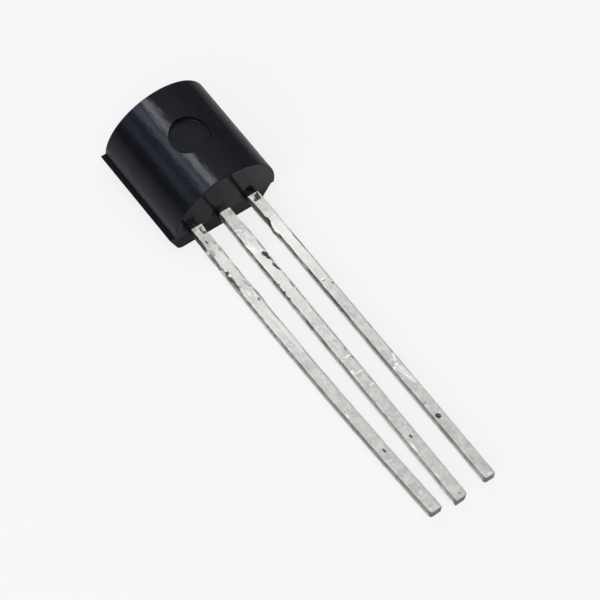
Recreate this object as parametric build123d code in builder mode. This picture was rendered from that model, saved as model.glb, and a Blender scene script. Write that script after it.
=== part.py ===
"""A small plastic transistor: a moulded body, three stamped leads, and the chip and wires inside it.

Millimetres. The part lies on its flat face, at z = 0, with its round side up. The leads leave the body
towards -Y. The origin is the middle of the flat face, on the line of the middle lead.
"""
import math
import os

from build123d import *

# Moulded body: a round half above the parting plane and a drafted flat half below it
body_radius = 2.285
body_height = 4.51
axis_height = 1.055
flat_half_width = 4.64
flat_half_draft = 25.5  # degrees from upright
flat_half_shift = 0.17  # sideways mismatch of the two mould halves
flat_corner_radius = 0.20
mould_edge_radius = 0.03

# Round mark that the ejector pin leaves in the crown
ejector_diameter = 1.58
ejector_depth = 0.24
ejector_shift = 0.14

# Stamped leads, all in one plane, with their upper face on the parting plane
lead_pitch = 1.27
lead_width = 0.47
lead_thickness = 0.40
lead_height = 0.54  # underside of the leads above the flat face
tip_radius = 0.13

# Each lead as it is cut and bent: its length outside the body, the sideways drift of its tip, and its bow
base_length = 14.30
base_tip_drift = 0.16
base_bow = 0.156
collector_length = 14.42
collector_tip_drift = -0.06
collector_bow = 0.012
emitter_length = 14.31
emitter_tip_drift = 0.035
emitter_bow = -0.008

# Inner ends of the leads: two bonding posts and the paddle between them
post_width = 0.80
post_length = 1.00
post_depth = 1.25  # from the body's end to the middle of a post
paddle_width = 2.10
paddle_length = 1.50
paddle_depth = 2.85  # from the body's end to the middle of the paddle
inner_corner_radius = 0.10

# Chip on the paddle, with the solder under it
die_side = 0.55
die_thickness = 0.22
attach_margin = 0.04
attach_thickness = 0.03

# Bond wires, each from a ball on the chip to a post
wire_diameter = 0.06
ball_diameter = 0.13
ball_height = 0.04
pad_offset = 0.14  # sideways, from the chip's middle to the ball
pad_setback = 0.12  # along the body, from the chip's middle to the ball
loop_height = 0.50  # of the wire's corner above the chip
loop_radius = 0.18

cut_overrun = 0.50

# Levels and places that follow from the sizes above
parting_height = lead_height + lead_thickness
crown_height = axis_height + body_radius
body_end = -body_height / 2
paddle_middle = body_end + paddle_depth
post_middle = body_end + post_depth
attach_top = parting_height + attach_thickness
die_top = attach_top + die_thickness
pad_line = paddle_middle - pad_setback

os.makedirs("parts", exist_ok=True)


def finish(piece, name):
    """Name a finished piece and write its file."""
    piece.part.label = name
    export_step(piece.part, f"parts/{name}.step")


def make_lead(start, length, tip_drift, bow, head_width, head_length):
    """One stamped lead: a strip with a slight bow from its head, inside the body, to its sheared tip."""
    tip = (start[0] + tip_drift, body_end - length)
    middle = ((start[0] + tip[0]) / 2 - bow, (start[1] + tip[1]) / 2)
    with BuildPart() as lead:
        with BuildSketch(Plane.XY.offset(lead_height)) as outline:
            with BuildLine():
                ThreePointArc(start, middle, tip)
            trace(line_width=lead_width)
            tip_corner = outline.vertices().group_by(Axis.Y)[0].sort_by(Axis.X)[-1]
            fillet(tip_corner, tip_radius)
            with Locations(start):
                RectangleRounded(head_width, head_length, inner_corner_radius)
        extrude(amount=lead_thickness)
    return lead


def make_bond_wire(side):
    """One bond wire: a ball on the chip, a rise, a bend and a straight run down to the post."""
    pad = Vector(side * pad_offset, pad_line, die_top)
    post = Vector(side * lead_pitch, post_middle, parting_height)
    span = math.hypot(post.X - pad.X, post.Y - pad.Y)
    drop = pad.Z - post.Z
    slope = (loop_height + drop) / span
    past_post = span + wire_diameter / slope
    run = Vector(post.X - pad.X, post.Y - pad.Y, 0)
    wire_plane = Plane(origin=pad, x_dir=run, z_dir=run.cross(Axis.Z.direction))
    with BuildPart() as wire:
        with BuildLine(wire_plane):
            FilletPolyline(
                (0, 0),
                (0, loop_height),
                (past_post, loop_height - slope * past_post),
                radius=loop_radius,
            )
        with BuildSketch(Plane(origin=pad)):
            Circle(wire_diameter / 2)
        sweep()
        split(bisect_by=Plane.XY.offset(parting_height), keep=Keep.TOP)
        with BuildSketch(Plane(origin=pad)):
            Circle(ball_diameter / 2)
        extrude(amount=ball_height)
    return wire


# The three leads, the middle one with the paddle
base_lead = make_lead(
    (-lead_pitch, post_middle), base_length, base_tip_drift, base_bow, post_width, post_length
)
collector_lead = make_lead(
    (0, paddle_middle), collector_length, collector_tip_drift, collector_bow, paddle_width, paddle_length
)
emitter_lead = make_lead(
    (lead_pitch, post_middle), emitter_length, emitter_tip_drift, emitter_bow, post_width, post_length
)

# Solder and chip
with BuildPart() as die_attach:
    with BuildSketch(Plane.XY.offset(parting_height)):
        with Locations((0, paddle_middle)):
            Rectangle(die_side + 2 * attach_margin, die_side + 2 * attach_margin)
    extrude(amount=attach_thickness)

with BuildPart() as transistor_die:
    with BuildSketch(Plane.XY.offset(attach_top)):
        with Locations((0, paddle_middle)):
            Rectangle(die_side, die_side)
    extrude(amount=die_thickness)

# Bond wires
base_bond_wire = make_bond_wire(-1)
emitter_bond_wire = make_bond_wire(1)

embedded = {
    "base_lead": base_lead,
    "collector_lead": collector_lead,
    "emitter_lead": emitter_lead,
    "die_attach": die_attach,
    "transistor_die": transistor_die,
    "base_bond_wire": base_bond_wire,
    "emitter_bond_wire": emitter_bond_wire,
}

# Moulded body, closed round everything inside it
with BuildPart() as moulded_body:
    below_axis = axis_height - parting_height
    round_half_reach = math.sqrt(body_radius**2 - below_axis**2)
    with BuildSketch(Plane.XZ.offset(-body_height / 2)):
        with BuildLine():
            ThreePointArc(
                (-round_half_reach, parting_height),
                (0, crown_height),
                (round_half_reach, parting_height),
            )
            Line((round_half_reach, parting_height), (-round_half_reach, parting_height))
        make_face()
    extrude(amount=body_height)
    fillet(moulded_body.edges().filter_by(GeomType.CIRCLE), mould_edge_radius)

    flat_inset = parting_height * math.tan(math.radians(flat_half_draft))
    parting_half = flat_half_width / 2
    flat_half = parting_half - flat_inset
    shifted_end = Plane((-flat_half_shift, body_height / 2, 0), Plane.XZ.x_dir, Plane.XZ.z_dir)
    with BuildSketch(shifted_end) as flat_profile:
        with BuildLine():
            Polyline(
                (-parting_half, parting_height),
                (-flat_half, 0),
                (flat_half, 0),
                (parting_half, parting_height),
                close=True,
            )
        make_face()
        fillet(flat_profile.vertices().group_by(Axis.Y)[0], flat_corner_radius)
    extrude(amount=body_height)

    with BuildSketch(Plane.XY.offset(crown_height - ejector_depth)):
        with Locations((-ejector_shift, 0)):
            Circle(ejector_diameter / 2)
    extrude(amount=ejector_depth + cut_overrun, mode=Mode.SUBTRACT)

    for inner_piece in embedded.values():
        add(inner_piece.part, mode=Mode.SUBTRACT)

finish(moulded_body, "moulded_body")
for name, inner_piece in embedded.items():
    finish(inner_piece, name)
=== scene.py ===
"""Dresses a small plastic transistor: its moulded body, tinned leads, and the chip and wires inside."""
import math
from collections import namedtuple

import bpy
import numpy as np
from mathutils import Matrix, Vector


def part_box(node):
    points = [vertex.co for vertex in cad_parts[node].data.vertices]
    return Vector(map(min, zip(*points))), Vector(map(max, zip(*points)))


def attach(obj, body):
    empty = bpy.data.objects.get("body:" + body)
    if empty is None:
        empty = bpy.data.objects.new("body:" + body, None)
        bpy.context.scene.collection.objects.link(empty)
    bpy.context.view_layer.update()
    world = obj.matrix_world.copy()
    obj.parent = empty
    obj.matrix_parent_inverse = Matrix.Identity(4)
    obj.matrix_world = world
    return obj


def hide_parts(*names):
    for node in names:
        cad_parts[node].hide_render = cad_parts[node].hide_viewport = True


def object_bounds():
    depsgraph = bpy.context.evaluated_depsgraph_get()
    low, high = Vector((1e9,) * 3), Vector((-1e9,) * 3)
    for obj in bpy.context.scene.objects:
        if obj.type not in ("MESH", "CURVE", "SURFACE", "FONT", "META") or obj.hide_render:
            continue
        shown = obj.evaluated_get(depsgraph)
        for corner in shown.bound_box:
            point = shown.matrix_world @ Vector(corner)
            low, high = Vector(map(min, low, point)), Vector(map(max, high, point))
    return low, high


bl_info = {
    "name": "Small Plastic Transistor",
    "version": (1, 0, 0),
    "blender": (4, 5, 0),
    "location": "View3D > Sidebar > Transistor",
    "description": "Builds the moulded body, the tinned leads and the stage of a small plastic transistor",
    "category": "Object",
}

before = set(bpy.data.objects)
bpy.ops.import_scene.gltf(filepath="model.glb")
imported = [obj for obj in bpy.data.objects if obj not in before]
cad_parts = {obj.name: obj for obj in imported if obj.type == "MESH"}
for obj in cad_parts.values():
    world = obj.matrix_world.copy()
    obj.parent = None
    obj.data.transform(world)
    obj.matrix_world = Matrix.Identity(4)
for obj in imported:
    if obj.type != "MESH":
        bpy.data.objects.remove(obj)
cad_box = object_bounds()

# Pieces are modelled on a workbench where one unit is a millimetre, and brought to metres when finished
MILLIMETRE = 0.001

# Points of a piece of the frame that lie closer than this on the workbench are one point
MERGE_DISTANCE = 0.0005

body_low, body_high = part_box("moulded_body")
lead_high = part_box("emitter_lead")[1]

# The body's end with the leads, and the leads' upper face, which lies in the parting plane
BODY_END = body_low.y / MILLIMETRE
LEAD_TOP = lead_high.z / MILLIMETRE


class MouldingSettings(bpy.types.PropertyGroup):
    """Sizes and finish of the moulded body."""

    radius: bpy.props.FloatProperty(
        name="Radius",
        description="Radius of the round half",
        default=body_high.x,
        unit="LENGTH",
        precision=6,
    )
    flat_half_width: bpy.props.FloatProperty(
        name="Flat Half Width",
        description="Width of the flat half at the parting plane",
        default=0.00464,
        unit="LENGTH",
        precision=6,
    )
    flat_half_draft: bpy.props.FloatProperty(
        name="Flat Half Draft",
        description="Lean of the flat half's long sides from upright",
        default=math.radians(25.5),
        subtype="ANGLE",
    )
    flat_corner_radius: bpy.props.FloatProperty(
        name="Flat Corner Radius",
        description="Radius along the two long edges of the flat face",
        default=0.0002,
        unit="LENGTH",
        precision=6,
    )
    edge_radius: bpy.props.FloatProperty(
        name="Edge Radius",
        description="Radius on the edges of the two ends",
        default=0.00003,
        unit="LENGTH",
        precision=6,
    )
    ejector_radius: bpy.props.FloatProperty(
        name="Ejector Mark Radius",
        description="Radius of the round mark in the crown",
        default=0.00079,
        unit="LENGTH",
        precision=6,
    )
    ejector_depth: bpy.props.FloatProperty(
        name="Ejector Mark Depth",
        description="Depth of the round mark below the crown",
        default=0.00024,
        unit="LENGTH",
        precision=6,
    )
    ejector_shift: bpy.props.FloatProperty(
        name="Ejector Mark Shift",
        description="Sideways place of the round mark, from the crown towards the left lead",
        default=0.00014,
        unit="LENGTH",
        precision=6,
    )
    colour: bpy.props.FloatVectorProperty(
        name="Colour",
        description="Colour of the black moulding compound",
        default=(0.0047, 0.0053, 0.0081),
        subtype="COLOR",
        min=0.0,
        max=1.0,
    )
    # A painted sheen: this lighter colour on the strip above the parting ledge stands in for a reflection
    # on the lowest part of the round side
    painted_sheen: bpy.props.FloatVectorProperty(
        name="Painted Sheen Colour",
        description="Colour of the painted sheen above the parting ledge",
        default=(0.05, 0.05, 0.054),
        subtype="COLOR",
        min=0.0,
        max=1.0,
    )
    roughness: bpy.props.FloatProperty(
        name="Roughness",
        description="Roughness of the moulded skin",
        default=0.18,
        subtype="FACTOR",
        min=0.0,
        max=1.0,
    )


class LeadSettings(bpy.types.PropertyGroup):
    """Finish of the tinned leads."""

    tin: bpy.props.FloatVectorProperty(
        name="Tin",
        description="Colour of the dull tin, times the tone at each place",
        default=(1.0, 0.99, 0.93),
        subtype="COLOR",
        min=0.0,
        max=1.0,
    )
    cream: bpy.props.FloatVectorProperty(
        name="Thick Coat",
        description="Colour of the thick coat a little way out from the body",
        default=(0.84, 0.81, 0.72),
        subtype="COLOR",
        min=0.0,
        max=1.0,
    )
    sheared: bpy.props.FloatVectorProperty(
        name="Sheared Metal",
        description="Colour of the punched sides, times the tone at each place",
        default=(1.0, 0.93, 0.86),
        subtype="COLOR",
        min=0.0,
        max=1.0,
    )
    burnished: bpy.props.FloatVectorProperty(
        name="Burnished Metal",
        description="Colour of the lower, smoother part of the punched sides",
        default=(0.82, 0.80, 0.77),
        subtype="COLOR",
        min=0.0,
        max=1.0,
    )
    # This dark colour serves real stains and painted shade in nicks and pits
    spot: bpy.props.FloatVectorProperty(
        name="Stain",
        description="Colour of the dark stains and of the painted shade in pits",
        default=(0.035, 0.028, 0.024),
        subtype="COLOR",
        min=0.0,
        max=1.0,
    )
    # Painted highlight: the glints on scratches, facets and the burrs at the tips are painted in this
    # colour
    glint: bpy.props.FloatVectorProperty(
        name="Glint",
        description="Colour of the painted highlights on bright scratches",
        default=(1.0, 1.0, 0.98),
        subtype="COLOR",
        min=0.0,
        max=1.0,
    )
    mesh_size: bpy.props.FloatProperty(
        name="Mesh Size",
        description="Size of the faces of a finished lead",
        default=0.000026,
        unit="LENGTH",
        precision=6,
    )


class InsideSettings(bpy.types.PropertyGroup):
    """Colours of the pieces inside the body."""

    silicon: bpy.props.FloatVectorProperty(
        name="Silicon",
        description="Colour of the chip",
        default=(0.060, 0.065, 0.080),
        subtype="COLOR",
        min=0.0,
        max=1.0,
    )
    solder: bpy.props.FloatVectorProperty(
        name="Solder",
        description="Colour of the solder under the chip",
        default=(0.52, 0.52, 0.50),
        subtype="COLOR",
        min=0.0,
        max=1.0,
    )
    gold: bpy.props.FloatVectorProperty(
        name="Gold",
        description="Colour of the bond wires",
        default=(0.83, 0.58, 0.22),
        subtype="COLOR",
        min=0.0,
        max=1.0,
    )


class StageSettings(bpy.types.PropertyGroup):
    """Floor, light and camera."""

    floor: bpy.props.FloatVectorProperty(
        name="Floor",
        description="Colour of the pale floor",
        default=(0.921, 0.921, 0.921),
        subtype="COLOR",
        min=0.0,
        max=1.0,
    )
    floor_evenness: bpy.props.FloatProperty(
        name="Floor Evenness",
        description="Share of the floor's brightness that the shadow leaves",
        default=0.85,
        subtype="FACTOR",
        min=0.0,
        max=1.0,
    )
    azimuth: bpy.props.FloatProperty(
        name="Camera Azimuth",
        description="Turn of the camera round the part",
        default=math.radians(-44.324),
        subtype="ANGLE",
    )
    elevation: bpy.props.FloatProperty(
        name="Camera Elevation",
        description="Height of the camera above the horizon",
        default=math.radians(59.397),
        subtype="ANGLE",
    )
    roll: bpy.props.FloatProperty(
        name="Camera Roll",
        description="Turn of the camera about its own line of sight",
        default=math.radians(8.885),
        subtype="ANGLE",
    )
    distance: bpy.props.FloatProperty(
        name="Camera Distance",
        description="Distance from the camera to the point it looks at",
        default=0.109858,
        unit="LENGTH",
        precision=6,
    )
    aim: bpy.props.FloatVectorProperty(
        name="Camera Aim",
        description="Point that the camera looks at, on the upper side of the leads",
        default=(0.0000055, -0.0069331, lead_high.z),
        subtype="TRANSLATION",
        unit="LENGTH",
        precision=6,
    )
    lens: bpy.props.FloatProperty(
        name="Lens",
        description="Focal length in millimetres",
        default=180.0,
        min=1.0,
    )


# Shader nodes


class Value:
    """An output of a shader node that takes part in Python expressions."""

    def __init__(self, tree, socket=None):
        self.tree = tree
        self.socket = socket

    def node(self, kind, settings=None, inputs=None, output=0):
        """Add a node of this kind, with its settings first and then its inputs, and return one output."""
        made = self.tree.nodes.new(kind)
        for name, setting in (settings or {}).items():
            if name == "stops":
                set_stops(made.color_ramp, setting)
            else:
                setattr(made, name, setting)
        for name, value in (inputs or {}).items():
            if isinstance(value, Value):
                self.tree.links.new(value.socket, made.inputs[name])
            else:
                made.inputs[name].default_value = value
        return Value(self.tree, made.outputs[output] if made.outputs else None)

    def maths(self, operation, first, second=0.0):
        return self.node("ShaderNodeMath", {"operation": operation}, {0: first, 1: second})

    def __add__(self, other):
        return self.maths("ADD", self, other)

    def __radd__(self, other):
        return self.maths("ADD", other, self)

    def __sub__(self, other):
        return self.maths("SUBTRACT", self, other)

    def __rsub__(self, other):
        return self.maths("SUBTRACT", other, self)

    def __mul__(self, other):
        return self.maths("MULTIPLY", self, other)

    def __rmul__(self, other):
        return self.maths("MULTIPLY", other, self)

    def __truediv__(self, other):
        return self.maths("DIVIDE", self, other)

    def __rtruediv__(self, other):
        return self.maths("DIVIDE", other, self)

    def __pow__(self, other):
        return self.maths("POWER", self, other)

    def __abs__(self):
        return self.maths("ABSOLUTE", self)

    def up_to(self, other):
        return self.maths("MINIMUM", self, other)

    def at_least(self, other):
        return self.maths("MAXIMUM", self, other)

    def rise(self, low, high):
        """A smooth step from 0 at low to 1 at high, which may be the smaller of the two."""
        return self.node(
            "ShaderNodeMapRange",
            {"interpolation_type": "SMOOTHSTEP"},
            {"Value": self, "From Min": low, "From Max": high, "To Min": 0.0, "To Max": 1.0},
        )

    def parts(self):
        """The three parts of a vector."""
        return [self.node("ShaderNodeSeparateXYZ", inputs={0: self}, output=axis) for axis in "XYZ"]

    def scaled(self, scale):
        """A vector times a vector of three numbers."""
        return self.node("ShaderNodeVectorMath", {"operation": "MULTIPLY"}, {0: self, 1: scale})

    def noise(self, scale, detail=2.0, roughness=0.5):
        """Noise of about 0 to 1 at this place."""
        return self.node(
            "ShaderNodeTexNoise",
            {"noise_dimensions": "3D"},
            {"Vector": self, "Scale": scale, "Detail": detail, "Roughness": roughness},
        )

    def blend(self, low, high):
        """The colour low where this mask is 0, and high where it is 1."""
        inputs = {0: self, 6: opaque(low), 7: opaque(high)}
        return self.node("ShaderNodeMix", {"data_type": "RGBA"}, inputs, 2)


def largest(masks):
    """The largest of several masks."""
    result = masks[0]
    for mask in masks[1:]:
        result = result.at_least(mask)
    return result


def tinted(tone, tint):
    """A colour of this tone."""
    return tuple(tone * c for c in tint)


def opaque(colour):
    """A colour with its alpha, or a node's output as it is."""
    return colour if isinstance(colour, Value) else (*colour[:3], 1.0)


def set_stops(ramp, stops):
    """Give a colour ramp these stops, each a place and a colour."""
    while len(ramp.elements) < len(stops):
        ramp.elements.new(1.0)
    for element, (place, colour) in zip(ramp.elements, stops):
        element.position = place
        element.color = opaque(colour)


def empty_tree(owner):
    """Clear the nodes of a material or a world, and return a starting value on them."""
    owner.use_nodes = True
    owner.node_tree.nodes.clear()
    return Value(owner.node_tree)


def new_finish(name):
    """A new material, a starting value on its nodes, and its place in millimetres."""
    material = bpy.data.materials.new(name)
    start = empty_tree(material)
    place = start.node("ShaderNodeTexCoord", output="Object").scaled((1 / MILLIMETRE,) * 3)
    return material, start, place


def close_finish(start, inputs, second_inputs=None, share=0.0):
    """Feed the surface shader, mix a second one in by its share, and join them to the output."""
    surface = start.node("ShaderNodeBsdfPrincipled", inputs=inputs)
    if second_inputs:
        second = start.node("ShaderNodeBsdfPrincipled", inputs=second_inputs)
        surface = start.node("ShaderNodeMixShader", inputs={0: share, 1: surface, 2: second})
    start.node("ShaderNodeOutputMaterial", inputs={"Surface": surface})


def bump(start, height, strength, distance):
    """A normal from a height in millimetres."""
    return start.node(
        "ShaderNodeBump",
        inputs={"Height": height, "Strength": strength, "Distance": distance * MILLIMETRE},
        output="Normal",
    )


# Modelling


def leave_edit_mode():
    """Go back to object mode."""
    if bpy.context.object and bpy.context.object.mode != "OBJECT":
        bpy.ops.object.mode_set(mode="OBJECT")


def only_nothing():
    """Leave every object unselected."""
    leave_edit_mode()
    bpy.ops.object.select_all(action="DESELECT")


def only(piece):
    """Make this the one selected and active object."""
    only_nothing()
    piece.select_set(True)
    bpy.context.view_layer.objects.active = piece


def choose(piece, kind, test):
    """Go into edit mode with the vertices or edges selected whose points pass the test."""
    only(piece)
    mesh = piece.data
    for group in (mesh.vertices, mesh.edges, mesh.polygons):
        group.foreach_set("select", [False] * len(group))
    points = [vertex.co for vertex in mesh.vertices]
    if kind == "VERT":
        for vertex in mesh.vertices:
            vertex.select = test(vertex.co)
    else:
        for edge in mesh.edges:
            edge.select = test(*(points[i] for i in edge.vertices))
    bpy.context.tool_settings.mesh_select_mode = [kind == k for k in ("VERT", "EDGE", "FACE")]
    bpy.ops.object.mode_set(mode="EDIT")


def apply_transform():
    """Put the place, turn and scale of the chosen object into its mesh."""
    bpy.ops.object.transform_apply(location=True, rotation=True, scale=True)


def use_modifier(piece, kind, **settings):
    """Add a modifier with these settings and apply it."""
    only(piece)
    modifier = piece.modifiers.new(kind.lower(), kind)
    for name, setting in settings.items():
        setattr(modifier, name, setting)
    bpy.ops.object.modifier_apply(modifier=modifier.name)


def combine(piece, tool, operation, overlaps=False):
    """Join a tool to a piece, or cut the piece with it, and remove the tool, whose parts may overlap."""
    use_modifier(piece, "BOOLEAN", operation=operation, object=tool, solver="EXACT", use_self=overlaps)
    bpy.data.objects.remove(tool)


def node_on_workbench(node):
    """A merged copy of a node of the frame at the workbench's size."""
    only_nothing()
    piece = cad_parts[node].copy()
    piece.data = piece.data.copy()
    piece.parent = None
    for key in list(piece.keys()):
        del piece[key]
    bpy.context.scene.collection.objects.link(piece)
    only(piece)
    piece.scale = (1 / MILLIMETRE,) * 3
    apply_transform()
    bpy.ops.object.mode_set(mode="EDIT")
    bpy.ops.mesh.select_all(action="SELECT")
    bpy.ops.mesh.remove_doubles(threshold=MERGE_DISTANCE)
    bpy.ops.object.mode_set(mode="OBJECT")
    piece.data.materials.clear()
    return piece


def join_all(pieces):
    """Join several objects into the first."""
    only(pieces[0])
    for piece in pieces[1:]:
        piece.select_set(True)
    if len(pieces) > 1:
        bpy.ops.object.join()
    return pieces[0]


def off_workbench(piece, name, node, material):
    """Bring a finished piece to metres, name it, and put it in the place of its node."""
    if not piece.data.polygons:
        raise RuntimeError(f"{name} has no faces")
    only(piece)
    piece.scale = (MILLIMETRE,) * 3
    apply_transform()
    piece.name = name
    piece.data.name = name
    piece.data.materials.clear()
    piece.data.materials.append(material)
    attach(piece, "root")
    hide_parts(node)


# Moulded body

# Duller patches on the lead end, painted shade round the lead exits: the middle across and upright, and the
# half sizes
Patch = namedtuple("Patch", "across height half_width half_height")
END_SHADE_PATCHES = [
    Patch(-1.72, 1.45, 0.30, 0.55),
    Patch(-0.42, 1.25, 0.28, 0.40),
    Patch(1.00, 1.28, 0.36, 0.44),
]

# The strip above the parting ledge, lightened as a painted sheen: how far out it sets in, and how high its
# foot and its top fade
STRIP_SIDE = (2.10, 2.20)
STRIP_FOOT = (LEAD_TOP + 0.05, LEAD_TOP + 0.14)
STRIP_TOP = (1.20, 1.42)


def make_round_half(settings):
    """The round half: a cylinder along the body, cut off at the parting plane, with rounded end edges."""
    radius = settings.radius / MILLIMETRE
    length = -2 * BODY_END
    axis_height = body_high.z / MILLIMETRE - radius
    only_nothing()
    bpy.ops.mesh.primitive_cylinder_add(
        vertices=256,
        radius=radius,
        depth=length,
        location=(0, 0, axis_height),
        rotation=(math.pi / 2, 0, 0),
    )
    half = bpy.context.object
    apply_transform()
    bpy.ops.object.mode_set(mode="EDIT")
    bpy.ops.mesh.select_all(action="SELECT")
    bpy.ops.mesh.bisect(plane_co=(0, 0, LEAD_TOP), plane_no=(0, 0, 1), use_fill=True, clear_inner=True)
    edge_radius = settings.edge_radius / MILLIMETRE
    choose(half, "EDGE", lambda a, b: a.y * b.y > 0 and max(a.z, b.z) > LEAD_TOP + edge_radius)
    bpy.ops.mesh.bevel(offset=edge_radius, segments=4, affect="EDGES")
    choose(half, "EDGE", lambda a, b: a.y * b.y < 0)
    bpy.ops.mesh.subdivide(number_cuts=40)
    leave_edit_mode()
    return half


def make_flat_half(settings):
    """The flat half: a block with drafted long sides and rounded edges along the flat face."""
    width = settings.flat_half_width / MILLIMETRE
    length = -2 * BODY_END
    left = body_low.x / MILLIMETRE
    middle = left + width / 2
    only_nothing()
    bpy.ops.mesh.primitive_cube_add(
        size=1.0,
        location=(middle, 0, LEAD_TOP / 2),
        scale=(width, length, LEAD_TOP),
    )
    half = bpy.context.object
    apply_transform()
    inset = LEAD_TOP * math.tan(settings.flat_half_draft)
    choose(half, "VERT", lambda p: p.z < LEAD_TOP / 2)
    share = (width - 2 * inset) / width
    bpy.ops.transform.resize(value=(share, 1, 1), center_override=(middle, 0, 0))
    choose(half, "EDGE", lambda a, b: a.y * b.y < 0 and a.z < LEAD_TOP / 2)
    bpy.ops.mesh.bevel(offset=settings.flat_corner_radius / MILLIMETRE, segments=8, affect="EDGES")
    choose(half, "EDGE", lambda a, b: a.y * b.y > 0 and min(a.z, b.z) < LEAD_TOP / 2)
    bpy.ops.mesh.bevel(offset=settings.edge_radius / MILLIMETRE, segments=3, affect="EDGES")
    leave_edit_mode()
    return half


def make_ejector_pin(settings):
    """The pin that leaves the round mark, with a soft edge round its foot."""
    radius = settings.ejector_radius / MILLIMETRE
    crown = body_high.z / MILLIMETRE
    floor = crown - settings.ejector_depth / MILLIMETRE
    depth = crown - floor + radius
    only_nothing()
    bpy.ops.mesh.primitive_cylinder_add(
        vertices=128,
        radius=radius,
        depth=depth,
        location=(-settings.ejector_shift / MILLIMETRE, 0, floor + depth / 2),
    )
    pin = bpy.context.object
    apply_transform()
    choose(pin, "EDGE", lambda a, b: max(a.z, b.z) < floor + radius / 2)
    bpy.ops.mesh.bevel(offset=0.6 * settings.edge_radius / MILLIMETRE, segments=3, affect="EDGES")
    leave_edit_mode()
    return pin


def exit_shade_patch(place, patch):
    """A mask of one dull patch of painted shade, with a cloudy edge."""
    x, _, z = place.parts()
    aside = (x - patch.across) / patch.half_width
    above = (z - patch.height) / patch.half_height
    reach = aside * aside + above * above + 1.2 * (place.noise(5.0, 3.0, 0.6) - 0.5)
    return 0.7 * (1 - reach.rise(0.2, 1.2))


def moulding_finish(settings):
    """Black moulding compound: a streaky semi-gloss skin, glossy ends, and a dull floor in the mark."""
    material, start, place = new_finish("black_moulding")
    x, y, z = place.parts()

    # Noises: clouds, a fine grain, streaks along the body and a faint waviness
    cloud = place.noise(1.3, 3.0)
    grain = place.noise(26.0, 3.0, 0.6)
    streak = place.scaled((1.0, 0.10, 1.0)).noise(8.0, 1.0)
    peel = place.scaled((1.0, 0.6, 1.0)).noise(4.5, 1.0)

    # Masks of the places that have a finish of their own
    shift = settings.ejector_shift / MILLIMETRE
    radius = settings.ejector_radius / MILLIMETRE
    from_mark = ((x + shift) * (x + shift) + y * y) ** 0.5
    floor_level = (body_high.z - settings.ejector_depth) / MILLIMETRE
    in_mark = (1 - from_mark.rise(radius - 0.05, radius)) * z.rise(floor_level - 0.1, floor_level - 0.05)
    on_end = abs(y).rise(-BODY_END - 0.03, -BODY_END - 0.01)
    low_end = on_end * (1 - z.rise(LEAD_TOP - 0.25, LEAD_TOP + 0.10))
    wall = settings.radius / MILLIMETRE
    on_ledge = (1 - x.rise(-wall, 0.05 - wall)) * (1 - on_end)
    on_ledge = on_ledge * (1 - z.rise(LEAD_TOP, LEAD_TOP + 0.1))
    sheen_strip = abs(x).rise(*STRIP_SIDE) * z.rise(*STRIP_FOOT) * (1 - z.rise(*STRIP_TOP))
    # Painted shade round the lead exits: the lead end mirrors less in these patches
    exit_shade = largest([exit_shade_patch(place, patch) for patch in END_SHADE_PATCHES]) * y.rise(0.0, -1.0)

    # Colour, roughness and unevenness
    dust = place.noise(60.0, 2.0, 0.5).rise(0.68, 0.78)
    colour = cloud.blend(tinted(0.85, settings.colour), tinted(1.2, settings.colour))
    colour = (dust * 0.25).blend(colour, (0.03, 0.031, 0.034))
    # Painted sheen: the strip above the parting ledge is lightened
    colour = (sheen_strip * (1 - on_end)).blend(colour, settings.painted_sheen)
    uneven = 0.08 * (cloud - 0.5) + 0.06 * (grain - 0.5) + 0.10 * (streak - 0.5)
    roughness = settings.roughness + uneven + 0.30 * in_mark
    roughness = roughness - 0.08 * on_end + 0.25 * low_end + 0.3 * on_ledge
    height = 0.2 * grain * (1 + low_end) + (1 - on_end) * (0.8 * streak + 1.1 * peel)
    normal = bump(start, height, 1.0, 0.006)

    # A dull and a glossy skin, and the share of the glossy one
    dull = {"Base Color": colour, "Roughness": 0.6, "Specular IOR Level": 0.0, "Normal": normal}
    glossy = {"Base Color": colour, "Roughness": roughness, "IOR": 1.5, "Normal": normal}
    # Painted shade: the lead end mirrors less towards the left and on its low part round and below the
    # leads; the ledge is dull
    dulled_and_shaded = on_end * (0.10 + 0.28 * x.rise(1.6, -1.2)) + 0.2 * low_end + 0.55 * on_ledge
    blotch = 1 + 0.9 * in_mark * (place.noise(3.5, 3.0, 0.6) - 0.5)
    share = (0.37 + 0.16 * cloud) * (1 - dulled_and_shaded) * (1 - on_end * exit_shade) * blotch
    close_finish(start, dull, glossy, share)
    return material


class TRANSISTOR_OT_moulding(bpy.types.Operator):
    """Model the moulded body from its two halves, its ejector mark and the pockets of what it holds"""

    bl_idname = "transistor.moulding"
    bl_label = "Moulded Body"

    def execute(self, context):
        settings = context.scene.transistor_moulding
        body = make_round_half(settings)
        combine(body, make_flat_half(settings), "UNION")
        combine(body, make_ejector_pin(settings), "DIFFERENCE")
        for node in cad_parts:
            if node != "moulded_body":
                combine(body, node_on_workbench(node), "DIFFERENCE")
        only(body)
        bpy.ops.object.shade_smooth_by_angle(angle=math.radians(28))
        use_modifier(body, "WEIGHTED_NORMAL", keep_sharp=True)
        material = moulding_finish(settings)
        off_workbench(body, "body_moulding", "moulded_body", material)
        return {"FINISHED"}


# Tinned leads

# A lump or a pit on a lead: how far along from the body, how far across from the lead's middle, its level
# from the upper face, and its half sizes along, across and upright
Mark = namedtuple("Mark", "along across level half_length half_width half_height")

# A stain or a glint on a lead's upper face: its place along and across, its half sizes, how far it leans
# across for each millimetre along, and how strong it is
Stain = namedtuple("Stain", "along across half_length half_width lean strength")

# Where each lead's middle lies across the part: at the body, halfway and at the tip
LEAD_BOWS = {
    "base_lead": (-1.3035, -1.3385, -1.11),
    "collector_lead": (-0.0167, -0.0467, -0.06),
    "emitter_lead": (1.275, 1.2969, 1.305),
}

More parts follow.
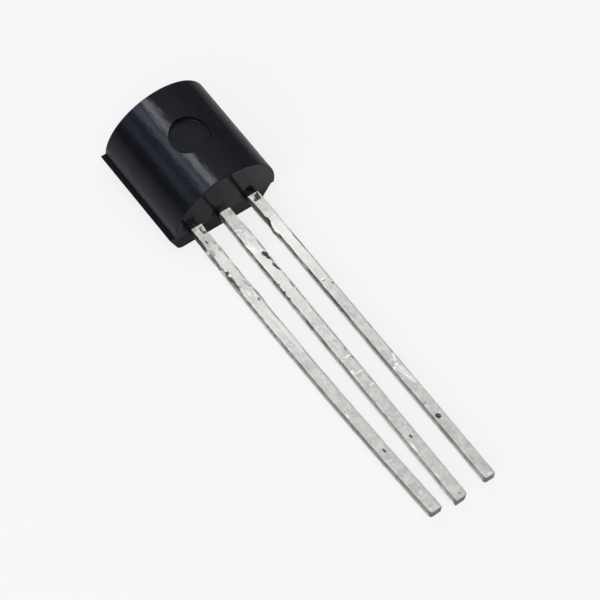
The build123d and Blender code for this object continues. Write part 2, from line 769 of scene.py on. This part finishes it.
LEAD_SWELLS = {
    "base_lead": [
        Mark(1.78, -0.17, -0.15, 0.52, 0.125, 0.16),
        Mark(3.40, -0.16, -0.14, 0.34, 0.115, 0.15),
        Mark(3.40, 0.02, -0.07, 0.40, 0.17, 0.085),
        Mark(3.70, 0.165, -0.065, 0.55, 0.12, 0.085),
    ],
    "collector_lead": [
        Mark(1.80, -0.16, -0.15, 0.50, 0.125, 0.16),
        Mark(1.85, -0.02, -0.07, 0.60, 0.20, 0.09),
    ],
    "emitter_lead": [
        Mark(1.68, -0.21, -0.14, 0.40, 0.12, 0.15),
    ],
}

LEAD_PITS = {
    "base_lead": [
        Mark(1.10, -0.32, -0.12, 0.22, 0.13, 0.25),
        Mark(2.26, -0.27, 0.00, 0.09, 0.10, 0.05),
        Mark(2.62, -0.28, 0.00, 0.18, 0.10, 0.05),
        Mark(3.80, 0.22, 0.00, 0.08, 0.09, 0.05),
        Mark(11.35, 0.04, 0.03, 0.10, 0.055, 0.08),
    ],
    "collector_lead": [
        Mark(0.62, -0.345, -0.20, 0.60, 0.135, 0.35),
        Mark(2.40, 0.19, 0.00, 0.18, 0.09, 0.05),
        Mark(2.98, 0.20, 0.00, 0.18, 0.06, 0.05),
        Mark(11.43, 0.00, 0.03, 0.08, 0.06, 0.08),
    ],
    "emitter_lead": [
        Mark(1.24, -0.27, 0.00, 0.16, 0.09, 0.07),
        Mark(4.50, -0.03, 0.01, 0.03, 0.09, 0.03),
        Mark(11.33, -0.03, 0.03, 0.12, 0.10, 0.10),
    ],
}

# Dark marks on the leads: real stains and smudges, with painted shade in the nicks and pits and along
# nicked edges, and a painted dark reflection of the body at the emitter's exit
LEAD_STAINS_AND_SHADE = {
    "base_lead": [
        Stain(0.11, 0.11, 0.05, 0.10, 0.0, 0.6),
        Stain(0.24, 0.065, 0.17, 0.05, 0.0, 0.8),
        Stain(0.37, 0.115, 0.06, 0.08, 0.0, 0.9),
        Stain(0.08, -0.17, 0.10, 0.10, 0.0, 0.3),
        Stain(0.76, -0.065, 0.09, 0.045, 0.0, 0.8),
        Stain(0.95, 0.17, 0.06, 0.06, 0.0, 0.4),
        Stain(1.20, -0.20, 0.20, 0.12, 0.3, 0.4),
        Stain(1.28, 0.16, 0.10, 0.06, 0.0, 0.4),
        Stain(1.75, -0.225, 0.50, 0.03, 0.0, 0.4),
        Stain(2.25, -0.18, 0.075, 0.075, 0.0, 0.95),
        Stain(2.58, -0.20, 0.22, 0.065, 0.0, 0.9),
        Stain(2.90, -0.22, 0.22, 0.055, 0.0, 0.85),
        Stain(3.00, -0.19, 0.03, 0.10, 0.0, 0.75),
        Stain(3.20, -0.27, 0.12, 0.04, 0.0, 0.8),
        Stain(3.00, 0.15, 0.22, 0.05, 0.25, 0.35),
        Stain(3.80, 0.135, 0.075, 0.05, 0.0, 0.85),
        Stain(11.35, 0.04, 0.10, 0.05, 0.0, 0.85),
    ],
    "collector_lead": [
        Stain(0.20, 0.13, 0.14, 0.09, 0.0, 0.3),
        Stain(2.36, 0.15, 0.14, 0.12, 0.1, 0.95),
        Stain(2.53, 0.16, 0.14, 0.07, 0.1, 0.95),
        Stain(2.70, 0.20, 0.12, 0.04, 0.0, 0.6),
        Stain(2.95, 0.16, 0.14, 0.07, 0.1, 0.9),
        Stain(3.10, 0.18, 0.13, 0.055, 0.1, 0.9),
        Stain(3.72, -0.22, 0.035, 0.06, 0.0, 0.9),
        Stain(4.10, -0.225, 0.05, 0.05, 0.0, 0.9),
        Stain(4.42, -0.225, 0.05, 0.05, 0.0, 0.7),
        Stain(3.98, 0.19, 0.15, 0.025, 0.0, 0.7),
        Stain(7.24, 0.20, 0.09, 0.03, 0.0, 0.7),
        Stain(7.67, 0.20, 0.08, 0.03, 0.0, 0.7),
        Stain(8.70, 0.20, 0.15, 0.025, 0.0, 0.5),
        Stain(11.43, 0.00, 0.08, 0.06, 0.0, 0.85),
        Stain(14.22, 0.05, 0.04, 0.05, 0.0, 0.6),
    ],
    "emitter_lead": [
        Stain(0.20, 0.08, 0.14, 0.13, 0.0, 0.95),
        Stain(0.12, 0.13, 0.12, 0.08, -0.5, 0.95),
        Stain(0.27, -0.02, 0.08, 0.14, 0.0, 0.9),
        Stain(0.72, -0.23, 0.28, 0.045, 0.0, 0.8),
        Stain(1.22, -0.22, 0.20, 0.085, 0.0, 0.9),
        Stain(2.40, 0.20, 0.20, 0.03, 0.0, 0.8),
        Stain(2.80, 0.21, 0.28, 0.025, 0.0, 0.7),
        Stain(4.50, -0.03, 0.018, 0.09, 0.0, 0.75),
        Stain(4.75, 0.16, 0.055, 0.04, 0.0, 0.8),
        Stain(6.95, 0.21, 0.14, 0.025, 0.0, 0.5),
        Stain(8.20, 0.21, 0.16, 0.025, 0.0, 0.6),
        Stain(10.65, -0.12, 0.05, 0.12, 0.0, 0.3),
        Stain(11.33, -0.03, 0.12, 0.10, 0.0, 0.95),
    ],
}

# Glints are painted highlights: bright scratches and facets, a pale streak and the burrs at the tips,
# painted pale
LEAD_GLINTS = {
    "base_lead": [
        Stain(2.41, -0.17, 0.05, 0.07, 0.0, 1.0),
        Stain(3.90, -0.20, 0.09, 0.05, 0.0, 1.0),
        Stain(6.10, -0.19, 0.06, 0.05, 0.0, 1.0),
        Stain(5.60, 0.16, 1.00, 0.10, 0.03, 0.45),
        Stain(9.50, -0.16, 0.07, 0.06, 0.0, 0.8),
        Stain(7.95, 0.05, 0.05, 0.06, 0.0, 0.5),
        Stain(11.80, -0.02, 0.03, 0.12, 0.0, 0.5),
        Stain(13.40, 0.02, 0.10, 0.07, 0.0, 0.4),
        Stain(14.12, -0.13, 0.06, 0.07, 0.0, 0.4),
    ],
    "collector_lead": [
        Stain(0.95, -0.14, 0.08, 0.08, 0.0, 1.0),
        Stain(1.02, 0.00, 0.07, 0.08, 0.0, 0.9),
        Stain(0.90, 0.14, 0.08, 0.06, 0.0, 0.9),
        Stain(1.13, -0.15, 0.07, 0.09, 0.0, 1.0),
        Stain(1.17, 0.13, 0.05, 0.09, 0.0, 1.0),
        Stain(7.53, 0.08, 0.045, 0.12, -0.5, 1.0),
        Stain(8.16, -0.17, 0.08, 0.07, 0.0, 1.0),
        Stain(8.28, 0.03, 0.03, 0.26, 0.0, 1.0),
        Stain(8.95, 0.12, 0.03, 0.12, 0.0, 1.0),
        Stain(11.85, -0.17, 0.22, 0.04, 0.0, 0.9),
        Stain(13.20, -0.17, 0.12, 0.04, 0.0, 0.7),
    ],
    "emitter_lead": [
        Stain(0.12, -0.12, 0.10, 0.10, 0.0, 0.9),
        Stain(0.17, 0.205, 0.18, 0.022, 0.0, 0.9),
        Stain(4.42, -0.02, 0.045, 0.09, 0.0, 1.0),
        Stain(8.52, 0.13, 0.18, 0.045, -0.4, 1.0),
        Stain(8.80, 0.03, 0.06, 0.10, 0.0, 1.0),
        Stain(8.88, -0.14, 0.05, 0.11, 0.0, 1.0),
        Stain(9.35, 0.10, 0.50, 0.11, 0.12, 0.55),
        Stain(9.30, 0.02, 0.35, 0.03, 0.30, 1.0),
        Stain(14.20, 0.06, 0.06, 0.09, 0.0, 0.5),
    ],
}

# Tone of a lead's upper face and of its punched sides at distances along it
TOP_TONES = {
    "base_lead": [
        (0.0, 1.0), (0.5, 0.84), (0.9, 0.78), (1.2, 0.84), (1.6, 0.92), (2.4, 0.80),
        (3.4, 0.75), (4.5, 0.85), (6.0, 0.74), (15.0, 0.62),
    ],
    "collector_lead": [
        (0.0, 1.0), (0.5, 0.94), (1.0, 0.88), (1.6, 0.96), (3.4, 0.89), (4.5, 0.84),
        (6.5, 0.78), (9.0, 0.69), (15.0, 0.66),
    ],
    "emitter_lead": [
        (0.0, 0.92), (0.6, 1.0), (2.0, 1.0), (3.0, 0.95), (3.6, 0.88), (4.5, 0.77),
        (6.0, 0.75), (15.0, 0.61),
    ],
}

# Close to the body the sides' tones are very dark: painted shade where the body shades the sides and is
# mirrored in them
SIDE_TONES = {
    "base_lead": [
        (0.0, 0.006), (0.95, 0.006), (1.1, 0.42), (2.0, 0.42), (2.3, 0.27), (3.0, 0.24),
        (3.6, 0.27), (6.0, 0.21), (15.0, 0.19),
    ],
    "collector_lead": [
        (0.0, 0.08), (0.5, 0.19), (1.2, 0.20), (2.0, 0.20), (2.7, 0.11), (3.5, 0.17),
        (5.0, 0.24), (15.0, 0.36),
    ],
    "emitter_lead": [
        (0.0, 0.05), (1.3, 0.10), (2.2, 0.12), (3.6, 0.26), (4.4, 0.12), (5.2, 0.08),
        (5.8, 0.18), (7.0, 0.24), (15.0, 0.29),
    ],
}

# Where the lower part of a lead's sides begins to be bright, and how bright it is
BRIGHT_SIDES = {"base_lead": (1.0, 1.3), "collector_lead": (0.0, 1.4), "emitter_lead": (0.0, 1.2)}
BRIGHTNESS_OF_SIDES = {"base_lead": 0.45, "collector_lead": 0.75, "emitter_lead": 0.65}

# How much further each lead's coat reaches on its left and on its right than the bare strip
COAT_REACH = {
    "base_lead": (0.004, 0.03),
    "collector_lead": (0.010, 0.035),
    "emitter_lead": (-0.025, 0.008),
}

# How far from the body that reach begins, and over what length it grows
COAT_START = {"base_lead": 0.7, "collector_lead": 0.7, "emitter_lead": -0.1}
COAT_GROWTH = 0.6

# Half the width of a bare lead, and the length that the tones are laid over
LEAD_HALF_WIDTH = 0.235
LEAD_REACH = 15.0

# The uneven skin of the coat: the size of its waves, their height, and the noise that leaves it in place
SKIN_WAVE = 0.28
SKIN_HEIGHT = 0.018
SKIN_LEVEL = 0.70

# The sway of the edges: the size of its waves, their width, and how it fades from the body outwards
SWAY_WAVE = 0.45
SWAY_WIDTH = 0.06
SWAY_LEFT = 0.3
SWAY_FADE = 5.0

# The tip is smoothed in full up to this far from its end, and less up to twice as far
TIP_LENGTH = 0.2


def add_marks(marks, middle_at):
    """One object with an ellipsoid for each mark."""
    made = []
    for mark in marks:
        only_nothing()
        place = (middle_at(mark.along) + mark.across, BODY_END - mark.along, LEAD_TOP + mark.level)
        bpy.ops.mesh.primitive_ico_sphere_add(
            subdivisions=4,
            radius=1.0,
            location=place,
            scale=(mark.half_width, mark.half_length, mark.half_height),
        )
        apply_transform()
        made.append(bpy.context.object)
    return join_all(made)


def lead_length(node):
    """How far a lead reaches from the body."""
    return BODY_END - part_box(node)[0].y / MILLIMETRE


def middle_line(node):
    """A function that gives the X of a lead's middle at a distance along it."""
    length = lead_length(node)
    bow = np.polyfit((0, length / 2, length), LEAD_BOWS[node], 2)
    return lambda distance: np.polyval(bow, distance)


def read_points(piece, field="co"):
    """The places of a piece's points, or another field of them, in rows of three."""
    values = np.empty(len(piece.data.vertices) * 3, np.float32)
    piece.data.vertices.foreach_get(field, values)
    return values.reshape(-1, 3)


def weigh(piece, name, weights):
    """Give the points these weights, in tenths, in a vertex group."""
    group = piece.vertex_groups.new(name=name)
    tenths = np.round(10 * weights)
    for tenth in np.unique(tenths):
        group.add(np.flatnonzero(tenths == tenth).tolist(), float(tenth) / 10, "REPLACE")


def spread(piece, node, middle_at):
    """Widen or narrow a lead on each side by the reach of its coat, outside the body."""
    points = read_points(piece)
    along = BODY_END - points[:, 1]
    grown = np.clip((along - COAT_START[node]) / COAT_GROWTH, 0.0, 1.0)
    aside = (points[:, 0] - middle_at(along)) / LEAD_HALF_WIDTH * grown
    for name, direction, reach in zip(("left_side", "right_side"), (-1, 1), COAT_REACH[node]):
        weigh(piece, name, np.clip(direction * aside, 0.0, 1.0))
        push = direction * reach
        use_modifier(piece, "DISPLACE", direction="X", strength=push, mid_level=0.0, vertex_group=name)


def write_strip(piece, middle_at):
    """Store on each point how far it lies across and along its lead, and how far it turns to a side."""
    points = read_points(piece)
    normals = read_points(piece, "normal")
    along = BODY_END - points[:, 1]
    side = np.hypot(normals[:, 0], np.minimum(normals[:, 1], 0))
    strip = np.stack([points[:, 0] - middle_at(along), along, side], axis=1).astype(np.float32)
    piece.data.attributes.new("strip", "FLOAT_VECTOR", "POINT")
    piece.data.attributes["strip"].data.foreach_set("vector", strip.ravel())


def along_lead(along, tones, tint):
    """A colour that follows the distance along a lead through these tones."""
    stops = [(distance / LEAD_REACH, tinted(tone, tint)) for distance, tone in tones]
    return along.node("ShaderNodeValToRGB", {"stops": stops}, {"Fac": along / LEAD_REACH})


def spots(stains, across, along, ragged):
    """A mask of several stains with ragged edges."""
    masks = []
    for spot in stains:
        ahead = along - spot.along
        aside = (across - spot.across - spot.lean * ahead) / spot.half_width
        ahead = ahead / spot.half_length
        reach = ahead * ahead + aside * aside + 1.6 * (ragged - 0.5)
        masks.append(spot.strength * (1 - reach.rise(0.5, 1.2)))
    return largest(masks)


def tin_finish(node, settings):
    """Dull tin: a cloudy thin coat at the body, a thick cream coat further out, then a grained skin."""
    material, start, place = new_finish("tin_" + node)
    strip = start.node("ShaderNodeAttribute", {"attribute_name": "strip"}, output="Vector")
    across, along, side = strip.parts()
    level = LEAD_TOP - place.parts()[2]

    # Noises from coarse to fine, and a wander that frays what follows the distance along the lead
    cloud = place.noise(2.2, 4.0, 0.6)
    mottle = place.noise(7.0, 4.0, 0.65)
    ragged = place.noise(13.0, 3.0, 0.6)
    grain = place.scaled((1.0, 0.6, 1.0)).noise(22.0, 3.0, 0.6)
    wander = 0.5 * (cloud - 0.5) + 0.4 * (mottle - 0.5)

    # Upper face
    thick = (along + wander).rise(1.1, 1.4) * (1 - (along + 2.0 * wander).rise(3.6, 6.0))
    light = along_lead(along + 0.6 * wander, TOP_TONES[node], settings.tin)
    dim = along_lead(along + 0.6 * wander, TOP_TONES[node], tinted(0.70, settings.tin))
    shade = (0.4 * cloud + 0.25 * mottle + 0.2 * ragged + 0.15 * grain).rise(0.58, 0.42)
    top = (shade * (0.85 - 0.45 * thick)).blend(light, dim)
    speck = (0.5 * ragged + 0.5 * grain).rise(0.53, 0.61) * along.rise(1.4, 0.8) * 0.6
    top = speck.blend(top, tinted(0.4, settings.tin))
    top = (thick * cloud.rise(0.5, 0.7) * 0.5).blend(top, settings.cream)

    # Punched sides, patchy near the body and darkened close to it by painted shade, with a burnished lower
    # part and dark tips
    patchy = (0.55 * cloud + 0.45 * mottle).rise(0.44, 0.56) - 0.5
    patchy = 0.5 + patchy * (1 - 0.6 * along.rise(5.0, 8.0))
    sheared = patchy.blend(
        along_lead(along + wander, SIDE_TONES[node], tinted(0.28, settings.sheared)),
        along_lead(along + wander, SIDE_TONES[node], tinted(1.65, settings.sheared)),
    )
    edge = (side + 0.7 * (mottle - 0.5) + 0.3 * (ragged - 0.5)).rise(0.5, 0.75)
    tip = along.rise(lead_length(node) - 0.20, lead_length(node) - 0.05)
    burnished = (level + 0.12 * (mottle - 0.5)).rise(0.16, 0.33) * along.rise(*BRIGHT_SIDES[node])
    burnished = BRIGHTNESS_OF_SIDES[node] * burnished * edge * (1 - tip)
    sheared = tip.blend(sheared, tinted(0.12, settings.sheared))
    colour = edge.blend(top, burnished.blend(sheared, settings.burnished))

    # Painted shade along the right rim, dark stains with painted shade in nicks and pits, and glints
    # painted as highlights
    rim_shade = across.rise(0.165, 0.21) * (0.6 * cloud + 0.4 * mottle).rise(0.40, 0.54)
    rim_shade = rim_shade * along.rise(0.8, 1.6) * (0.75 - 0.55 * along.rise(6.0, 10.0))
    colour = rim_shade.blend(colour, tinted(0.25, settings.tin))
    spot = spots(LEAD_STAINS_AND_SHADE[node], across, along, ragged) * (1 - 0.8 * edge * level.rise(0.04, 0.14))
    colour = spot.blend(colour, settings.spot)
    glint = spots(LEAD_GLINTS[node], across, along, ragged) * (1 - edge)
    colour = glint.blend(colour, settings.glint)

    roughness = 0.42 + 0.18 * (mottle - 0.5) + 0.12 * (grain - 0.5) + 0.1 * edge - 0.2 * glint
    height = 0.8 * mottle + 0.4 * ragged + 0.5 * grain + 1.2 * thick - 1.2 * spot + glint
    close_finish(
        start,
        {
            "Base Color": colour,
            "Metallic": 0.1 + 0.25 * along.rise(0.4, 1.2) + 0.6 * burnished,
            "Roughness": roughness,
            "Normal": bump(start, height, 0.6, 0.014),
        },
    )
    return material


def cloud_texture(name, wave):
    """A soft noise with waves of this size."""
    texture = bpy.data.textures.new(name, "CLOUDS")
    texture.noise_scale = wave
    texture.noise_depth = 2
    return texture


class TRANSISTOR_OT_leads(bpy.types.Operator):
    """Model the three leads with their thick coat, swells, nicks and pits"""

    bl_idname = "transistor.leads"
    bl_label = "Tinned Leads"

    def execute(self, context):
        settings = context.scene.transistor_leads
        skin = {"texture": cloud_texture("tin_skin", SKIN_WAVE), "strength": SKIN_HEIGHT}
        sway = {"texture": cloud_texture("edge_sway", SWAY_WAVE), "strength": SWAY_WIDTH}
        for node in ("base_lead", "collector_lead", "emitter_lead"):
            middle_at = middle_line(node)
            lead = node_on_workbench(node)
            combine(lead, add_marks(LEAD_PITS[node], middle_at), "DIFFERENCE", overlaps=True)
            lead = join_all([lead, add_marks(LEAD_SWELLS[node], middle_at)])
            use_modifier(lead, "REMESH", mode="VOXEL", voxel_size=settings.mesh_size / MILLIMETRE)
            along = BODY_END - read_points(lead)[:, 1]
            weigh(lead, "near_body", np.clip(1 + SWAY_LEFT - along / SWAY_FADE, SWAY_LEFT, 1.0))
            weigh(lead, "tip", np.clip((along - lead_length(node)) / TIP_LENGTH + 2.0, 0.0, 1.0))
            use_modifier(lead, "SMOOTH", factor=0.5, iterations=2)
            use_modifier(lead, "SMOOTH", factor=0.5, iterations=8, vertex_group="tip")
            spread(lead, node, middle_at)
            use_modifier(lead, "DISPLACE", direction="X", vertex_group="near_body", **sway)
            use_modifier(lead, "DISPLACE", mid_level=SKIN_LEVEL, **skin)
            only(lead)
            bpy.ops.object.shade_smooth()
            write_strip(lead, middle_at)
            material = tin_finish(node, settings)
            off_workbench(lead, node + "_tinned", node, material)
        return {"FINISHED"}


# Chip, solder and bond wires


def silicon_finish(settings):
    """Dark polished silicon with pale patches of metal."""
    material, start, place = new_finish("silicon")
    tint = place.noise(9.0, 2.0)
    pad = place.node("ShaderNodeTexVoronoi", {"feature": "F1"}, {"Vector": place, "Scale": 6.0}, "Distance")
    colour = tint.blend(tinted(0.8, settings.silicon), tinted(1.3, settings.silicon))
    colour = (pad.rise(0.45, 0.5) * 0.5).blend(colour, (0.35, 0.35, 0.36))
    close_finish(start, {"Base Color": colour, "Metallic": 0.4, "Roughness": 0.18 + 0.1 * tint})
    return material


def solder_finish(settings):
    """Dull grey solder, cloudy and a little uneven."""
    material, start, place = new_finish("die_solder")
    cloud = place.noise(12.0, 4.0, 0.6)
    colour = cloud.blend(tinted(0.7, settings.solder), tinted(1.15, settings.solder))
    close_finish(
        start,
        {
            "Base Color": colour,
            "Metallic": 0.8,
            "Roughness": 0.35 + 0.2 * cloud,
            "Normal": bump(start, cloud, 0.4, 0.01),
        },
    )
    return material


def gold_finish(settings):
    """Drawn gold wire with faint streaks."""
    material, start, place = new_finish("gold_wire")
    streak = place.noise(40.0, 2.0)
    colour = streak.blend(tinted(0.88, settings.gold), settings.gold)
    close_finish(start, {"Base Color": colour, "Metallic": 1.0, "Roughness": 0.16 + 0.12 * streak})
    return material


class TRANSISTOR_OT_inside(bpy.types.Operator):
    """Give the chip, the solder under it and the bond wires their finishes"""

    bl_idname = "transistor.inside"
    bl_label = "Chip and Wires"

    def execute(self, context):
        settings = context.scene.transistor_inside
        gold = gold_finish(settings)
        finishes = {
            "transistor_die": silicon_finish(settings),
            "die_attach": solder_finish(settings),
            "base_bond_wire": gold,
            "emitter_bond_wire": gold,
        }
        for node, material in finishes.items():
            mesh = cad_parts[node].data
            if not mesh.materials:
                mesh.materials.append(material)
            for index in range(len(mesh.materials)):
                mesh.materials[index] = material
        return {"FINISHED"}


# Stage

# A lamp: its turn about the part's length from the right over the top, its lean towards the far end, both
# in degrees, its width across and along in degrees, its brightness and its colour
Lamp = namedtuple("Lamp", "turn lean width length brightness colour")

LAMPS = {
    "bright_strip": Lamp(100.6, 25.0, 12.8, 11.0, 6.0, (0.97, 1.0, 1.06)),
    "blue_window": Lamp(119.6, 25.0, 11.0, 11.0, 2.5, (0.75, 0.95, 1.24)),
    "blue_edge": Lamp(151.5, 25.0, 13.0, 12.0, 0.6, (0.75, 0.92, 1.25)),
    "left_softbox": Lamp(128.0, -22.0, 60.0, 34.0, 2.9, (1.0, 1.0, 1.0)),
}

# How far the lamps stand from the part, and the power that gives a square metre of lamp a brightness of 1
LAMP_DISTANCE = 0.35
LAMP_POWER = 4.0

# The floor as the part mirrors it: bright up to this far from the part's line, and half as bright this much
# further out
FLOOR_BRIGHT_REACH = 0.0025
FLOOR_FADE = 0.010
RAYS_THAT_SEE_THE_FLOOR = ("Is Camera Ray", "Is Glossy Ray", "Is Transmission Ray")


def add_lamp(name, lamp, aim):
    """A soft rectangular lamp that faces the part."""
    turn = math.radians(lamp.turn)
    lean = math.radians(lamp.lean)
    away = Vector((math.cos(turn) * math.cos(lean), math.sin(lean), math.sin(turn) * math.cos(lean)))
    across = Vector((0, 1, 0)).cross(away).normalized()
    along = away.cross(across)
    light = bpy.data.lights.new(name, "AREA")
    light.shape = "RECTANGLE"
    light.size = 2 * LAMP_DISTANCE * math.tan(math.radians(lamp.width / 2))
    light.size_y = 2 * LAMP_DISTANCE * math.tan(math.radians(lamp.length / 2))
    light.energy = LAMP_POWER * light.size * light.size_y * lamp.brightness
    light.color = lamp.colour
    lamp_object = bpy.data.objects.new(name, light)
    bpy.context.scene.collection.objects.link(lamp_object)
    axes = Matrix((across, along, away)).transposed().to_4x4()
    lamp_object.matrix_world = Matrix.Translation(aim + LAMP_DISTANCE * away) @ axes


def add_floor(settings):
    """A pale floor with a soft shadow, which is mirrored darker further away from the part."""
    only_nothing()
    bpy.ops.mesh.primitive_plane_add(size=4.0, location=(0, 0, 0))
    floor = bpy.context.object
    floor.name = "floor"
    material = bpy.data.materials.new("pale_floor")
    start = empty_tree(material)
    x, y, _ = start.node("ShaderNodeTexCoord", output="Object").parts()
    past_part = y - y.at_least(cad_box[0].y).up_to(0.0)
    beyond = ((x * x + past_part * past_part) ** 0.5 - FLOOR_BRIGHT_REACH).at_least(0.0)
    seen, *mirrored = [start.node("ShaderNodeLightPath", output=ray) for ray in RAYS_THAT_SEE_THE_FLOOR]
    far_share = beyond / (beyond + FLOOR_FADE) * (1 - seen)
    colour = far_share.blend(settings.floor, (0.0, 0.0, 0.0))
    share = settings.floor_evenness * seen.at_least(0.5 * largest(mirrored))
    lit = start.node("ShaderNodeBsdfDiffuse", inputs={"Color": colour})
    even = start.node("ShaderNodeEmission", inputs={"Color": colour, "Strength": 1.0})
    surface = start.node("ShaderNodeMixShader", inputs={0: share, 1: lit, 2: even})
    start.node("ShaderNodeOutputMaterial", inputs={"Surface": surface})
    floor.data.materials.append(material)


def add_sky():
    """A room that is dark at the horizon, a little lighter on the right, and grey overhead."""
    world = bpy.data.worlds.new("studio")
    start = empty_tree(world)
    x, _, z = start.node("ShaderNodeTexCoord", output="Generated").parts()
    to_right = x.at_least(0.0) * (0.06 + 0.22 * z.rise(0.4, 0.0))
    strength = 0.03 + 0.74 * z.at_least(0.0) ** 1.3 + to_right
    colour = (0.97, 0.985, 1.01, 1.0)
    sky = start.node("ShaderNodeBackground", inputs={"Color": colour, "Strength": strength})
    start.node("ShaderNodeOutputWorld", inputs={"Surface": sky})
    bpy.context.scene.world = world


def add_camera(settings):
    """A camera at the photograph's viewing angle."""
    azimuth = settings.azimuth
    elevation = settings.elevation
    back = Vector(
        (
            math.sin(azimuth) * math.cos(elevation),
            -math.cos(azimuth) * math.cos(elevation),
            math.sin(elevation),
        )
    )
    level_right = (-back).cross(Vector((0, 0, 1))).normalized()
    level_up = level_right.cross(-back)
    right = math.cos(settings.roll) * level_right + math.sin(settings.roll) * level_up
    up = back.cross(right)
    lens = bpy.data.cameras.new("camera")
    lens.lens = settings.lens
    lens.sensor_width = 36.0
    lens.clip_start = 0.005
    lens.clip_end = 10.0
    camera = bpy.data.objects.new("camera", lens)
    bpy.context.scene.collection.objects.link(camera)
    axes = Matrix((right, up, back)).transposed().to_4x4()
    camera.matrix_world = Matrix.Translation(Vector(settings.aim) + settings.distance * back) @ axes
    bpy.context.scene.camera = camera


class TRANSISTOR_OT_stage(bpy.types.Operator):
    """Set up the floor, the lamps and the camera"""

    bl_idname = "transistor.stage"
    bl_label = "Stage"

    def execute(self, context):
        settings = context.scene.transistor_stage
        context.scene.view_settings.view_transform = "Standard"
        add_floor(settings)
        add_sky()
        for name, lamp in LAMPS.items():
            add_lamp(name, lamp, Vector((0, 0, body_high.z / 2)))
        add_camera(settings)
        return {"FINISHED"}


class TRANSISTOR_PT_panel(bpy.types.Panel):
    """Sizes, colours and steps of the transistor"""

    bl_idname = "TRANSISTOR_PT_panel"
    bl_label = "Small Plastic Transistor"
    bl_space_type = "VIEW_3D"
    bl_region_type = "UI"
    bl_category = "Transistor"

    def draw(self, context):
        for operator, settings in STEPS:
            self.layout.operator(operator.bl_idname)
            group = getattr(context.scene, settings)
            for name in group.__annotations__:
                self.layout.prop(group, name)


STEPS = [
    (TRANSISTOR_OT_moulding, "transistor_moulding"),
    (TRANSISTOR_OT_leads, "transistor_leads"),
    (TRANSISTOR_OT_inside, "transistor_inside"),
    (TRANSISTOR_OT_stage, "transistor_stage"),
]

GROUPS = {
    "transistor_moulding": MouldingSettings,
    "transistor_leads": LeadSettings,
    "transistor_inside": InsideSettings,
    "transistor_stage": StageSettings,
}


def register():
    for name, group in GROUPS.items():
        bpy.utils.register_class(group)
        setattr(bpy.types.Scene, name, bpy.props.PointerProperty(type=group))
    for operator, _ in STEPS:
        bpy.utils.register_class(operator)
    bpy.utils.register_class(TRANSISTOR_PT_panel)


def unregister():
    bpy.utils.unregister_class(TRANSISTOR_PT_panel)
    for operator, _ in reversed(STEPS):
        bpy.utils.unregister_class(operator)
    for name, group in reversed(GROUPS.items()):
        delattr(bpy.types.Scene, name)
        bpy.utils.unregister_class(group)


def main():
    register()
    bpy.ops.transistor.moulding()
    bpy.ops.transistor.leads()
    bpy.ops.transistor.inside()
    bpy.ops.transistor.stage()
    leave_edit_mode()


if __name__ == "__main__":
    main()
